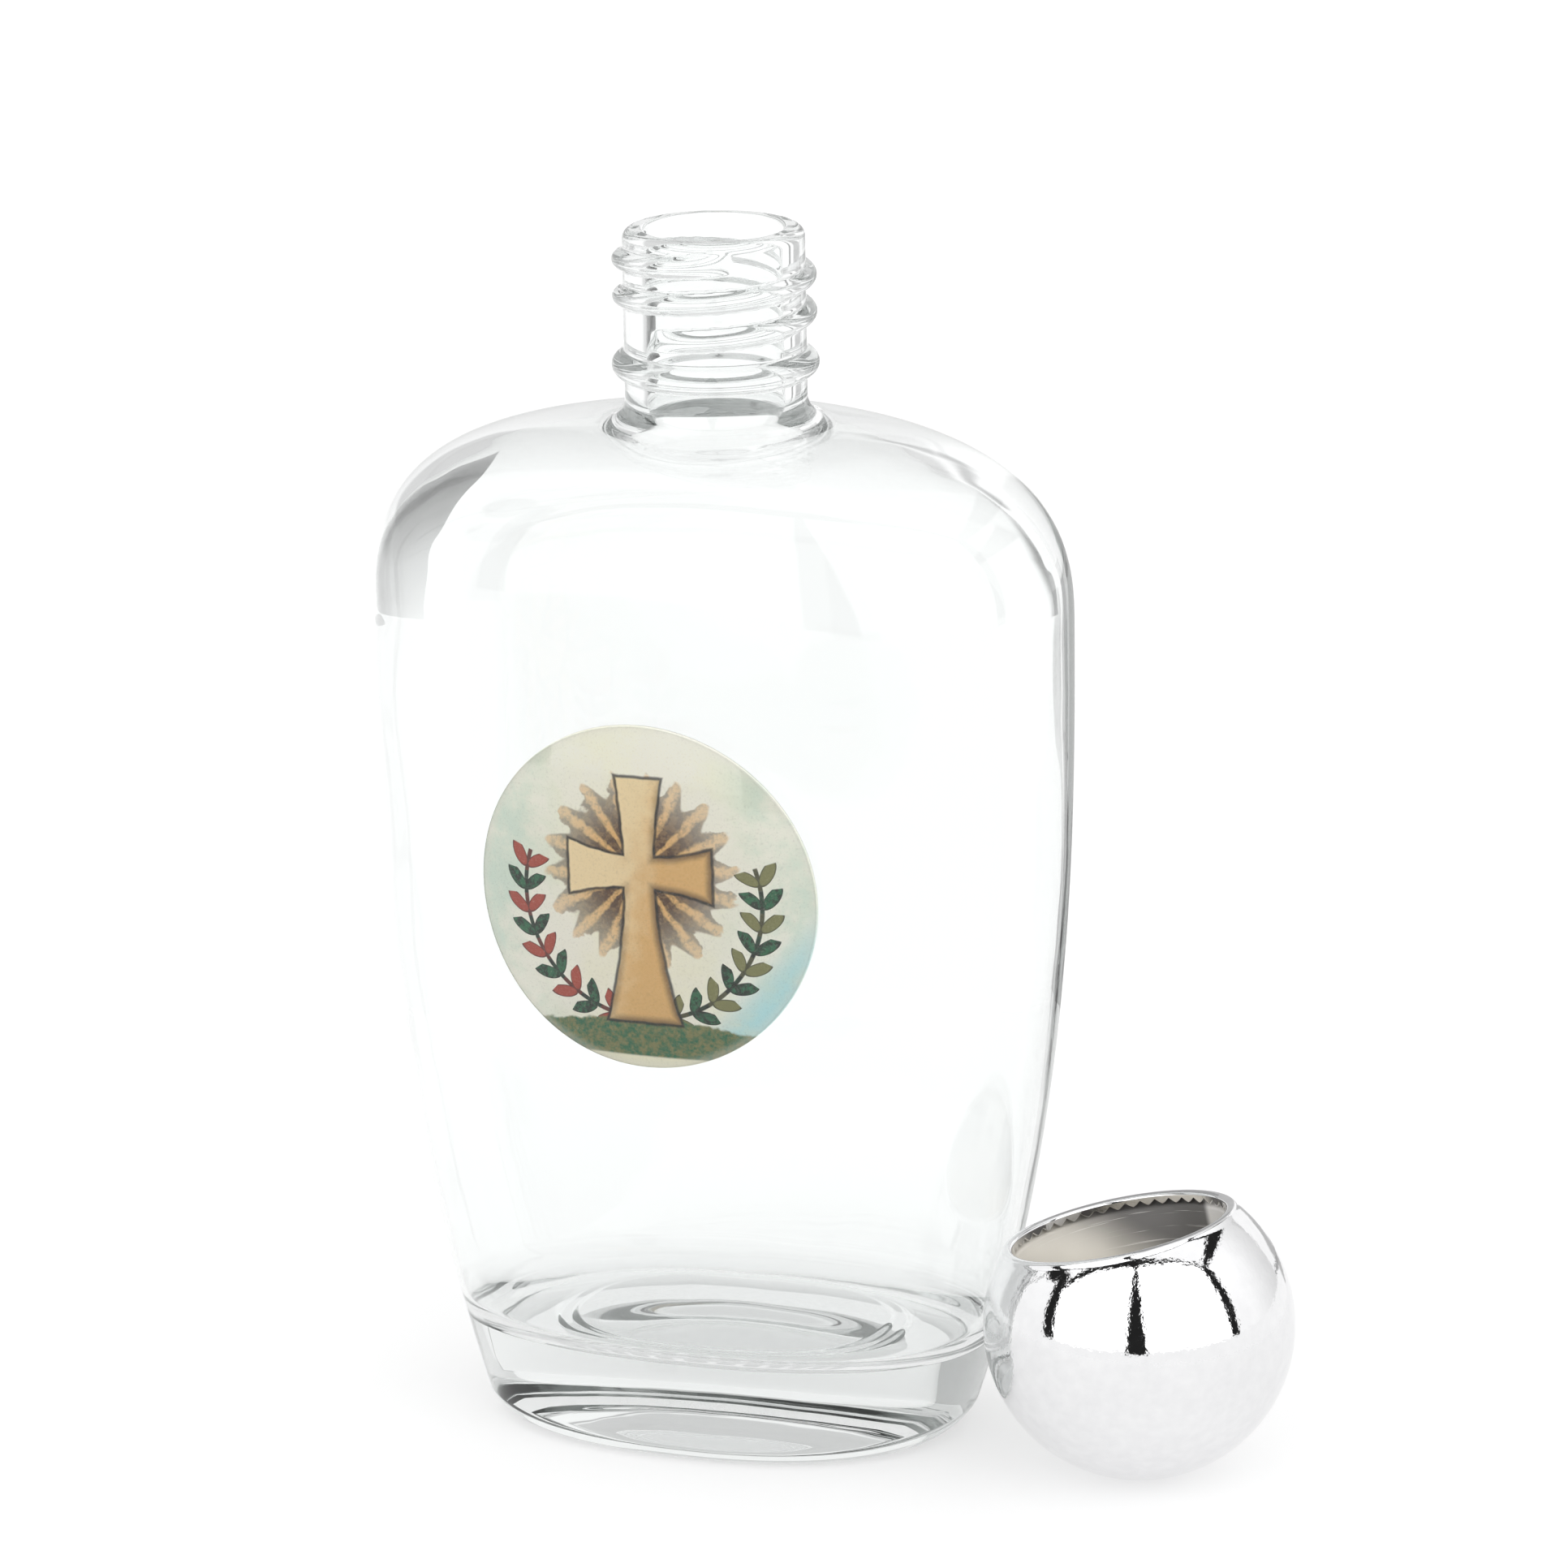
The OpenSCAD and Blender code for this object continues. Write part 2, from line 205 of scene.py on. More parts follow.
def shoulder_end(radius, inset, rise, foot):
    """How far up its curve each side of the shoulders comes to a radius."""
    low, high = np.zeros(SIDES), np.full(SIDES, np.pi / 2)
    for _ in range(40):
        middle = (low + high) / 2
        points = shoulder_points(middle, inset, rise, foot)
        outside = np.hypot(points[:, 0], points[:, 1]) > radius
        low, high = np.where(outside, middle, low), np.where(outside, high, middle)
    return low


def round_ring(radius, z, turn=None):
    turn = angles_of(SIDES) if turn is None else turn
    radius = np.broadcast_to(radius, SIDES)
    return np.stack([radius * np.cos(turn), radius * np.sin(turn), np.broadcast_to(z, SIDES)], 1)


def fillet_rings(edge, inner, neck_r, neck_z, steps):
    """Rings that turn smoothly from the shoulders' edge into a round neck."""
    reach = np.hypot(edge[:, 0], edge[:, 1])
    inner_reach = np.hypot(inner[:, 0], inner[:, 1])
    slope = (edge[:, 2] - inner[:, 2]) / (reach - inner_reach)
    length = FILLET_PULL * abs(reach - neck_r)
    lift = np.sign(neck_z - edge[:, 2].mean())
    turn = np.arctan2(edge[:, 1], edge[:, 0])
    target = angles_of(SIDES)
    gap = (target - turn + np.pi) % (2 * np.pi) - np.pi
    inward = np.sign(neck_r - reach)
    rings = []
    for share in np.linspace(0, 1, steps + 1)[1:]:
        rest = 1 - share
        a, b, c, d = rest ** 3, 3 * share * rest ** 2, 3 * share ** 2 * rest, share ** 3
        radius = a * reach + b * (reach + inward * length) + (c + d) * neck_r
        z = a * edge[:, 2] + b * (edge[:, 2] + slope * inward * length)
        z = z + c * (neck_z - lift * FILLET_PULL * abs(neck_z - edge[:, 2])) + d * neck_z
        rings.append(round_ring(radius, z, turn + gap * share))
    return rings


def ridge(off, power, outer_power):
    """The rounded section of a ridge: 1 at its middle, and 0 where off is 1 or more."""
    return np.maximum(0, 1 - off ** power) ** outer_power


def thread_height(turn, z, top, turns, end_angle):
    """How far a right-hand screw thread stands out of its wall, as a share of its full height."""
    down = ((end_angle - turn) / (2 * np.pi)) % 1
    height = np.zeros_like(z)
    for loop in range(math.ceil(turns) + 1):
        along = down + loop
        off = np.abs(z - (top - THREAD_PITCH * along)) / THREAD_HALF
        ends = smooth_step(*THREAD_RUN_OUT, along) * smooth_step(*THREAD_RUN_OUT, turns - along)
        height = np.maximum(height, ends * ridge(off, *THREAD_ROUND))
    return height


def neck_wall(z):
    """Rings of the outside of the neck, with its bead and its thread."""
    turn = angles_of(SIDES)
    off = np.abs(z - (FLASK_H - BEAD_DROP)) / BEAD_HALF
    bead = BEAD_RISE * ridge(off, *BEAD_ROUND)
    thread = thread_height(turn, np.full(SIDES, z), FLASK_H - THREAD_DROP, THREAD_TURNS, THREAD_END)
    return round_ring(NECK_R + bead + THREAD_RISE * thread, z)


def base_rings():
    """The underside: an oval hollow in the ring that the flask stands on, with small bars in front."""
    rings = []
    for share in PUNT_SHARES:
        rise = PUNT_H * (1 - smooth_step(PUNT_FLAT, 1, share))
        rings.append(oval(PUNT_W / 2 * share, PUNT_D / 2 * share, OVAL_POWER, rise))
    turn = angles_of(SIDES)
    from_front = np.abs((turn + np.pi / 2 + np.pi) % (2 * np.pi) - np.pi)
    row = 1 - smooth_step(KNURL_FADE, 1, from_front / KNURL_SPREAD)
    bars = row * smooth_step(-KNURL_EDGE, KNURL_EDGE, np.cos(KNURLS * turn))
    inner = oval(PUNT_W / 2, PUNT_D / 2, OVAL_POWER, 0)
    outer = oval(half_w(0) - HEEL_R, half_d(0) - HEEL_R, OVAL_POWER, 0)
    for share in np.linspace(0, 1, STAND_RINGS)[1:]:
        ring = inner + (outer - inner) * share
        across = smooth_step(*KNURL_IN, share) * smooth_step(*KNURL_OUT, 1 - share)
        ring[:, 2] = KNURL_H * across * bars
        rings.append(ring)
    return rings


def body_oval(z, inset, off=0):
    return oval(half_w(z) - inset[0] - off, half_d(z) - inset[1] - off, OVAL_POWER, z)


def corner(low, radius, inset, turn):
    z = low + radius * (1 - math.cos(turn))
    return body_oval(z, inset, radius * (1 - math.sin(turn)))


def outside_rings():
    rings = base_rings()
    rings += [corner(0, HEEL_R, OUTER, turn) for turn in np.linspace(0, np.pi / 2, HEEL_RINGS)[1:]]
    rings += [body_oval(z, OUTER) for z in np.linspace(HEEL_R, SHOULDER_Z, BODY_RINGS)[1:]]
    shoulder = (OUTER, SHOULDER_RISE, NECK_R + NECK_SINK)
    end = shoulder_end(NECK_R + NECK_FILLET, *shoulder)
    shares = np.linspace(0, 1, SHOULDER_RINGS)
    rings += [shoulder_points(end * share, *shoulder) for share in shares[1:]]
    neck_z = FOOT_Z + NECK_FILLET - NECK_SINK
    rings += fillet_rings(rings[-1], rings[-2], NECK_R, neck_z, FILLET_RINGS)
    rings += [neck_wall(z) for z in np.linspace(neck_z, FLASK_H - LIP_R, NECK_RINGS)[1:]]
    return rings


def lip_rings():
    """The rounded lip, from the outside of the neck into its bore."""
    ease = LIP_R / 2
    outer = [(NECK_R - LIP_R, LIP_R, turn) for turn in np.linspace(0, np.pi / 2, LIP_RINGS)[1:]]
    inner = [(BORE_R + ease, ease, turn) for turn in np.linspace(np.pi / 2, np.pi, EASE_RINGS)]
    return [
        round_ring(middle + radius * math.cos(turn), FLASK_H - radius + radius * math.sin(turn))
        for middle, radius, turn in outer + inner
    ]


def uneven(z):
    """How much thicker the blown wall is at each side, at height z. It evens out towards the base."""
    turn = angles_of(SIDES)
    high = smooth_step(GLASS_FLOOR + FLOOR_R, SHOULDER_Z, z)
    waves = [share * np.sin(count * turn + phase + climb * z) for count, phase, climb, share in WAVES]
    return UNEVEN * high * sum(waves)


def inner_wall(z):
    return INNER[0] + uneven(z), INNER[1] + uneven(z)


def plateau_rise(share):
    """Height of the raised oval on the inner floor: two soft steps to a flat top."""
    return sum(rise * smooth_step(low, high, 1 - share) for rise, low, high in PLATEAU_STEPS)


def inside_rings():
    shoulder = (inner_wall(SHOULDER_Z), SHOULDER_RISE - GLASS_WALL, BORE_R)
    end = shoulder_end(BORE_R + BORE_FLARE, *shoulder)
    shares = np.linspace(0, 1, SHOULDER_RINGS)
    slope = [shoulder_points(end * share, *shoulder) for share in shares]
    bore_low = FOOT_Z - GLASS_WALL + BORE_FLARE
    flare = fillet_rings(slope[-1], slope[-2], BORE_R, bore_low, FILLET_RINGS)
    bore = np.linspace(FLASK_H - LIP_R / 2, bore_low, BORE_RINGS)
    rings = [round_ring(BORE_R, z) for z in bore[1:-1]]
    rings += flare[::-1]
    rings += slope[::-1]
    corner_z = GLASS_FLOOR + FLOOR_R
    rings += [body_oval(z, inner_wall(z)) for z in np.linspace(SHOULDER_Z, corner_z, WALL_RINGS)[1:]]
    bends = np.linspace(np.pi / 2, 0, CORNER_RINGS)
    rings += [corner(GLASS_FLOOR, FLOOR_R, INNER, turn) for turn in bends[1:]]
    edge = oval(PLATEAU_W / 2, PLATEAU_D / 2, OVAL_POWER, GLASS_FLOOR)
    rings += [rings[-1] + (edge - rings[-1]) * share for share in FLOOR_SHARES]
    for share in PLATEAU_SHARES:
        ring = edge * np.array([share, share, 1])
        ring[:, 2] += PLATEAU_H * plateau_rise(share)
        rings.append(ring)
    return rings


# The badge's form


def front_y(x, z):
    share = np.abs(x) / half_w(z)
    return -half_d(z) * (1 - share ** OVAL_POWER) ** (1 / OVAL_POWER)


def badge_rings(radius, shape):
    """Rings of a round layer on the front face, from pairs of a share of the radius and a height."""
    turn = angles_of(BADGE_SIDES)
    step = 0.00005
    rings = []
    for share, height in shape:
        x, z = radius * share * np.cos(turn), BADGE_Z + radius * share * np.sin(turn)
        across = (front_y(x + step, z) - front_y(x - step, z)) / (2 * step)
        upward = (front_y(x, z + step) - front_y(x, z - step)) / (2 * step)
        out = np.stack([across, np.full(BADGE_SIDES, -1.0), upward], 1)
        out /= np.linalg.norm(out, axis=1, keepdims=True)
        rings.append(np.stack([x, front_y(x, z), z], 1) + height * out)
    return rings


def film_shape():
    shares = np.linspace(MIDDLE_SHARE, 1, FILM_RINGS)
    low = [(share, SEAT) for share in shares]
    high = [(share, SEAT + FILM_T) for share in shares[::-1]]
    return low + high


def dome_shape():
    base = SEAT + FILM_T / 2
    top = 2 * SEAT + FILM_T + DOME_EDGE
    shares = np.sin(np.linspace(MIDDLE_SHARE, np.pi / 2, DOME_RINGS))
    low = [(share, base) for share in shares]
    edge = [(1, base + (top - base) * share) for share in (0.3, 0.6)]
    high = [(share, top + (DOME_H - DOME_EDGE) * (1 - share ** DOME_POWER)) for share in shares[::-1]]
    return low + edge + high


# The cap's form


def turned(profile, sides):
    """Rings of a turned solid from pairs of radius and height."""
    turn = angles_of(sides)
    return [
        np.stack([r * np.cos(turn), r * np.sin(turn), np.broadcast_to(z, sides)], 1)
        for r, z in profile
    ]


def ball_rings(radius, start, end, count):
    """Rings of a ball between two angles up from its middle."""
    turns = np.linspace(start, end, count)
    return turned([(radius * math.cos(t), radius * math.sin(t)) for t in turns], BALL_SIDES)


def shell_rings():
    """The ball from its pole to the fold at its mouth, down the toothed hem and back inside."""
    turn = angles_of(BALL_SIDES)
    inner_r = BALL_R - SHELL_T
    hem_in = HEM_R - HEM_T
    rim = math.asin((MOUTH_Z - FOLD) / BALL_R)
    rings = ball_rings(BALL_R, -np.pi / 2 + POLE, rim, BALL_RINGS)
    start_r = BALL_R * math.cos(rim)
    middle = (start_r + hem_in) / 2
    half = (start_r - hem_in) / 2
    for t in np.linspace(0, np.pi, FOLD_RINGS)[1:]:
        rings += turned([(middle + half * math.cos(t), MOUTH_Z - FOLD + FOLD * math.sin(t))], BALL_SIDES)
    tooth = np.abs((turn * HEM_TEETH / (2 * np.pi)) % 1 - 0.5) * 2
    low = MOUTH_Z - HEM_H + TOOTH_SHARE * HEM_H * tooth ** TOOTH_POWER
    for share in np.linspace(0, 1, HEM_RINGS)[1:]:
        z = MOUTH_Z - FOLD + (low - MOUTH_Z + FOLD) * share
        rings += turned([(hem_in, z)], BALL_SIDES)
    rings += turned([(HEM_R, low)], BALL_SIDES)
    inner_rim = math.asin((MOUTH_Z - 2 * FOLD) / inner_r)
    for share in (0.4, 0.8):
        rings += turned([(HEM_R, low + (MOUTH_Z - 1.5 * FOLD - low) * share)], BALL_SIDES)
    rings += ball_rings(inner_r, inner_rim, -np.pi / 2 + POLE, SHELL_RINGS)
    return rings


def insert_rings():
    """The threaded cup inside the ball, from its outer end wall over its rim to its floor."""
    ease = INSERT_EASE
    turn = angles_of(BALL_SIDES)
    profile = [(MIDDLE_R, INSERT_LOW), (INSERT_R - ease, INSERT_LOW), (INSERT_R, INSERT_LOW + ease)]
    lip_low, lip_high = HEM_R + SEAT, HEM_R + 4 * SEAT
    profile += [(INSERT_R, INSERT_TOP - ease), (INSERT_R - ease, INSERT_TOP), (lip_high, INSERT_TOP)]
    profile += [(lip_high, INSERT_LIP), (lip_low, INSERT_LIP)]
    profile += [(lip_low, INSERT_TOP), (SKIRT_R + ease, INSERT_TOP)]
    profile += [(SKIRT_R, INSERT_TOP - ease), (SKIRT_R, SKIRT_LOW + ease), (CAP_ROOT_R, SKIRT_LOW)]
    rings = turned(profile, BALL_SIDES)
    floor_z = INSERT_LOW + INSERT_END
    for z in np.linspace(SKIRT_LOW, floor_z + ease, CAP_THREAD_RINGS)[1:]:
        height = thread_height(turn, np.full(BALL_SIDES, z), CAP_THREAD_TOP, CAP_THREAD_TURNS, np.pi)
        rings += turned([(CAP_ROOT_R - THREAD_RISE * height, z)], BALL_SIDES)
    rings += turned([(CAP_ROOT_R - ease, floor_z), (MIDDLE_R, floor_z)], BALL_SIDES)
    return rings


def liner_rings():
    """The sealing disc, with the shallow ring that the lip has pressed into it."""
    ease = LINER_EASE
    profile = [(MIDDLE_R, LINER_LOW), (LINER_R - ease, LINER_LOW), (LINER_R, LINER_LOW + ease)]
    profile += [(LINER_R, LINER_TOP - ease), (LINER_R - ease, LINER_TOP)]
    for share in np.linspace(0.95, 0.06, PRESS_RINGS):
        r = LINER_R * share
        press = math.exp(-((r - (BORE_R + NECK_R) / 2) / PRESS_HALF) ** 2)
        profile.append((r, LINER_TOP - PRESS_DEEP * press))
    return turned(profile, BADGE_SIDES)


# Materials

# The print: places and sizes as shares of the badge's radius, and its colours
CROSS_Z, CROSS_LOW, CROSS_HIGH, CROSS_WIDE = 0.16, 0.72, 0.7, 0.42
RAY_COUNT, BURST_R = 18, 0.52
SPRAY_Z, SPRAY_R, LEAF_STEP, LEAF_LONG, LEAF_WIDE = 0.0, 0.7, 0.19, 0.085, 0.036
MOUND_Z = 0.68
CREAM, IVORY = (0.98, 0.975, 0.80), (0.99, 0.985, 0.88)
TEAL, SKY = (0.70, 0.85, 0.76), (0.42, 0.80, 0.86)
GOLD, PEACH = (0.80, 0.50, 0.19), (0.96, 0.78, 0.47)
BROWN, INK = (0.10, 0.045, 0.015), (0.01, 0.009, 0.008)
GREEN, OLIVE, RUSSET = (0.02, 0.16, 0.07), (0.24, 0.24, 0.09), (0.45, 0.07, 0.04)
# RIM_SHADE is painted shade for the print's rim, under the dome's edge
STRAW, RIM_SHADE = (0.97, 0.94, 0.74), (0.78, 0.77, 0.68)
SIN_45 = 0.7071

# The other materials' colours
CHROME_DIM, CHROME_BRIGHT = (0.77, 0.77, 0.78), (0.86, 0.86, 0.865)
# The insert's inner wall: pale plastic, a painted shade that darkens it, a painted highlight strip, and its
# scratches
PLASTIC_PALE, PLASTIC_PAINTED_SHADE = (0.80, 0.76, 0.68), (0.13, 0.125, 0.12)
PLASTIC_PAINTED_HIGHLIGHT, PLASTIC_SCRATCH = (0.9, 0.88, 0.85), (0.85, 0.83, 0.8)
LINER_DIM, LINER_BRIGHT = (0.72, 0.72, 0.69), (0.88, 0.88, 0.86)
FLOOR_DIM, FLOOR_BRIGHT, FLOOR_LIT = (0.50, 0.50, 0.50), (0.52, 0.52, 0.52), 0.52
CARD_DIM, CARD_BRIGHT = (0.34, 0.34, 0.34), (0.40, 0.40, 0.40)
GLASS_TINT, RESIN_TINT, CLEAR_IOR = (0.985, 0.995, 0.992, 1), (1, 1, 0.995, 1), 1.5
# Light lost in a metre of glass, and the colour that the loss leaves
GLASS_LOSS, GLASS_DEPTH = 7.0, (0.03, 0.08, 0.06, 1)


class Field:
    """A number that a material works out at every point, with the usual arithmetic."""

    def __init__(self, tree, socket):
        self.tree, self.socket = tree, socket

    def math(self, operation, *others):
        node = self.tree.nodes.new("ShaderNodeMath")
        node.operation = operation
        for slot, value in zip(node.inputs, (self, *others)):
            connect(self.tree, value, slot)
        return Field(self.tree, node.outputs[0])

    def __add__(self, other):
        return self.math("ADD", other)

    def __sub__(self, other):
        return self.math("SUBTRACT", other)

    def __rsub__(self, other):
        return self.math("MULTIPLY_ADD", -1.0, other)

    def __mul__(self, other):
        return self.math("MULTIPLY", other)

    def __truediv__(self, other):
        return self.math("DIVIDE", other)

    def __pow__(self, other):
        return self.math("POWER", other)

    def __abs__(self):
        return self.math("ABSOLUTE")

    def least(self, other):
        return self.math("MINIMUM", other)

    def most(self, other):
        return self.math("MAXIMUM", other)

    def between(self, low, high, start=0.0, end=1.0):
        """start below low, end above high, and a smooth change between them."""
        node = self.tree.nodes.new("ShaderNodeMapRange")
        node.interpolation_type = "SMOOTHSTEP"
        for slot, value in zip(node.inputs, (self, low, high, start, end)):
            connect(self.tree, value, slot)
        return Field(self.tree, node.outputs[0])

    def within(self, rise, fall):
        """1 between two soft edges, each a pair of where it starts and where it ends."""
        return self.between(*rise) * self.between(*fall, 1.0, 0.0)


def connect(tree, value, slot):
    if isinstance(value, Field):
        tree.links.new(value.socket, slot)
    else:
        slot.default_value = value


def new_material(name):
    material = bpy.data.materials.new(name)
    material.use_nodes = True
    return material, material.node_tree, material.node_tree.nodes["Principled BSDF"]


def place_coordinates(tree, location=(0, 0, 0), rotation=(0, 0, 0), scale=(1, 1, 1)):
    """The point's place in a frame with that place and turn, divided by scale."""
    source = tree.nodes.new("ShaderNodeTexCoord")
    mapping = tree.nodes.new("ShaderNodeMapping")
    mapping.vector_type = "TEXTURE"
    mapping.inputs["Location"].default_value = location
    mapping.inputs["Rotation"].default_value = rotation
    mapping.inputs["Scale"].default_value = scale
    tree.links.new(source.outputs["Object"], mapping.inputs["Vector"])
    return mapping.outputs["Vector"]


def split(tree, vector):
    node = tree.nodes.new("ShaderNodeSeparateXYZ")
    tree.links.new(vector, node.inputs[0])
    return [Field(tree, socket) for socket in node.outputs]


def noise(tree, vector, scale, detail=2.0, roughness=0.5):
    node = tree.nodes.new("ShaderNodeTexNoise")
    tree.links.new(vector, node.inputs["Vector"])
    node.inputs["Scale"].default_value = scale
    node.inputs["Detail"].default_value = detail
    node.inputs["Roughness"].default_value = roughness
    return Field(tree, node.outputs[0])


def ramp(tree, low, high, share):
    """A colour between low and high, each a colour or a socket that gives one."""
    node = tree.nodes.new("ShaderNodeMix")
    node.data_type = "RGBA"
    for slot, value in ((node.inputs[6], low), (node.inputs[7], high)):
        if isinstance(value, tuple):
            slot.default_value = (*value, 1)
        else:
            tree.links.new(value, slot)
    connect(tree, share, node.inputs[0])
    return node.outputs[2]


def bump(tree, shader, height, strength, distance):
    node = tree.nodes.new("ShaderNodeBump")
    node.inputs["Strength"].default_value = strength
    node.inputs["Distance"].default_value = distance
    connect(tree, height, node.inputs["Height"])
    tree.links.new(node.outputs[0], shader.inputs["Normal"])


def glass_material():
    material, tree, shader = new_material("clear_glass")
    shader.inputs["Base Color"].default_value = GLASS_TINT
    shader.inputs["Transmission Weight"].default_value = 1
    shader.inputs["IOR"].default_value = CLEAR_IOR
    where = place_coordinates(tree)
    smear = noise(tree, where, 70, 4)
    connect(tree, smear.between(0.5, 0.8, 0.0, 0.02), shader.inputs["Roughness"])
    bump(tree, shader, noise(tree, where, 160, 1), 0.03, 0.001)
    body = tree.nodes.new("ShaderNodeVolumeAbsorption")
    body.inputs["Color"].default_value = GLASS_DEPTH
    body.inputs["Density"].default_value = GLASS_LOSS
    tree.links.new(body.outputs[0], tree.nodes["Material Output"].inputs["Volume"])
    return material


def resin_material():
    material, tree, shader = new_material("clear_resin")
    shader.inputs["Base Color"].default_value = RESIN_TINT
    shader.inputs["Transmission Weight"].default_value = 1
    shader.inputs["IOR"].default_value = CLEAR_IOR
    where = place_coordinates(tree)
    smear = noise(tree, where, 300, 3)
    connect(tree, smear.between(0.45, 0.8, 0.01, 0.05), shader.inputs["Roughness"])
    bump(tree, shader, noise(tree, where, 500, 2), 0.02, 0.0003)
    return material


def square(field):
    return field * field


def leaf(along, out, lean):
    """Positive inside a leaf that grows from its stem at 45 degrees, to the side that lean gives."""
    length = (along + out * lean) * SIN_45 - LEAF_LONG
    width = (along - out * lean) * SIN_45
    return square(length / LEAF_LONG) * -1.0 - square(width / LEAF_WIDE) + 1.0


def print_material():
    """The printed film: a flared cross before a sunburst, over a mound and between two leafy sprays."""
    material, tree, shader = new_material("printed_film")
    where = place_coordinates(tree, (0, 0, BADGE_Z), scale=(BADGE_R,) * 3)
    x, _, z = split(tree, where)
    side = abs(x)
    cloud = noise(tree, where, 1.9, 5, 0.6)
    wobble = noise(tree, where, 11, 3) - 0.5
    hatch = noise(tree, where, 26, 3, 0.7)
    grain = noise(tree, where, 80, 2, 0.7)

    colour = ramp(tree, CREAM, IVORY, cloud.between(0.36, 0.6))
    haze = cloud.between(0.4, 0.6, 1.0, 0.0) * side.between(0.35, 0.8)
    colour = ramp(tree, colour, TEAL, haze * 0.8)
    low_right = (x * 0.8 - z * 0.7).between(0.75, 1.0)
    colour = ramp(tree, colour, SKY, low_right * cloud.between(0.3, 0.55) * 0.8)

    rise = z - CROSS_Z
    away = (square(x) + square(rise)) ** 0.5
    rays = (x.math("ARCTAN2", rise) * RAY_COUNT + wobble * 3).math("SINE")
    burst = (rays * 0.06 + wobble * 0.12 + BURST_R - away).between(-0.01, 0.02)
    dusk = rays.between(-0.1, 0.9, 1.0, 0.0) * 0.85 + hatch.between(0.45, 0.65) * 0.5
    tint = ramp(tree, GOLD, BROWN, dusk)
    colour = ramp(tree, colour, tint, burst * away.between(BURST_R + 0.05, 0.2, 0.6, 1.0))

    ring = (square(x) + square(z - SPRAY_Z)) ** 0.5
    turn = side.math("ARCTAN2", (z - SPRAY_Z) * -1.0) / LEAF_STEP
    along = (turn.math("FRACT") - 0.18) * (LEAF_STEP * SPRAY_R)
    out = ring - SPRAY_R
    on_spray = turn.between(1.5, 1.55) * turn.between(9.95, 10.0, 1.0, 0.0)
    leaves = leaf(along, out, 1.0).most(leaf(along, out, -1.0)) + wobble * 0.25
    stem = abs(out).between(0.01, 0.016, 1.0, 0.0)
    shape = leaves.between(0.0, 0.06).most(stem) * on_spray
    green = ramp(tree, GREEN, INK, hatch.between(0.4, 0.62) * 0.85)
    dry = ramp(tree, RUSSET, OLIVE, x.between(-0.1, 0.1))
    foliage = ramp(tree, green, dry, (turn.math("FLOOR") / 2).math("FRACT").between(0.2, 0.3))
    foliage = ramp(tree, foliage, INK, leaves.between(0.15, 0.4, 0.7, 0.0))
    colour = ramp(tree, colour, foliage, shape)

    mound = (z * -1.0 - MOUND_Z + wobble * 0.08 - square(x) * 0.2).between(0.0, 0.02)
    turf = ramp(tree, OLIVE, GREEN, hatch.between(0.35, 0.65))
    colour = ramp(tree, colour, turf, mound)
    colour = ramp(tree, colour, STRAW, (z * -1.0).between(0.92, 0.935))

    post = (square(rise) * 0.17 + 0.085 - side).least(z + CROSS_LOW).least(CROSS_HIGH - z)
    arms = (square(side) * 0.4 + 0.085 - abs(rise)).least(CROSS_WIDE - side)
    cross = post.most(arms) + wobble * 0.02
    colour = ramp(tree, colour, INK, cross.between(-0.022, -0.008) * 0.9)
    lit = (x * 2.2 + rise * -0.6 + wobble * 0.6).between(-0.35, 0.4)
    metal = ramp(tree, PEACH, GOLD, lit)
    metal = ramp(tree, metal, BROWN, cross.between(0.0, 0.05, 0.75, 0.0) * lit)
    colour = ramp(tree, colour, metal, cross.between(-0.004, 0.008))

    colour = ramp(tree, colour, INK, grain.between(0.5, 0.8) * 0.16)
    colour = ramp(tree, colour, STRAW, grain.between(0.2, 0.45, 0.12, 0.0))
    edge = (square(x) + square(z)) ** 0.5
    # Painted shade: the print darkens towards its rim, under the dome's edge
    colour = ramp(tree, colour, RIM_SHADE, edge.between(0.93, 1.0) * 0.35)
    tree.links.new(colour, shader.inputs["Base Color"])
    connect(tree, grain.between(0.3, 0.7, 0.5, 0.7), shader.inputs["Roughness"])
    return material


def chrome_material():
    material, tree, shader = new_material("chrome_shell")
    where = place_coordinates(tree)
    shade = noise(tree, where, 900, 3)
    tree.links.new(ramp(tree, CHROME_DIM, CHROME_BRIGHT, shade), shader.inputs["Base Color"])
    shader.inputs["Metallic"].default_value = 1
    haze = noise(tree, where, 1500, 2)
    connect(tree, haze.between(0.4, 0.75, 0.02, 0.07), shader.inputs["Roughness"])
    bump(tree, shader, noise(tree, where, 2600, 2), 0.05, 0.0002)
    return material


def cap_coordinates(tree):
    return place_coordinates(tree, BALL_CENTRE, (0, -CAP_LEAN, 0))


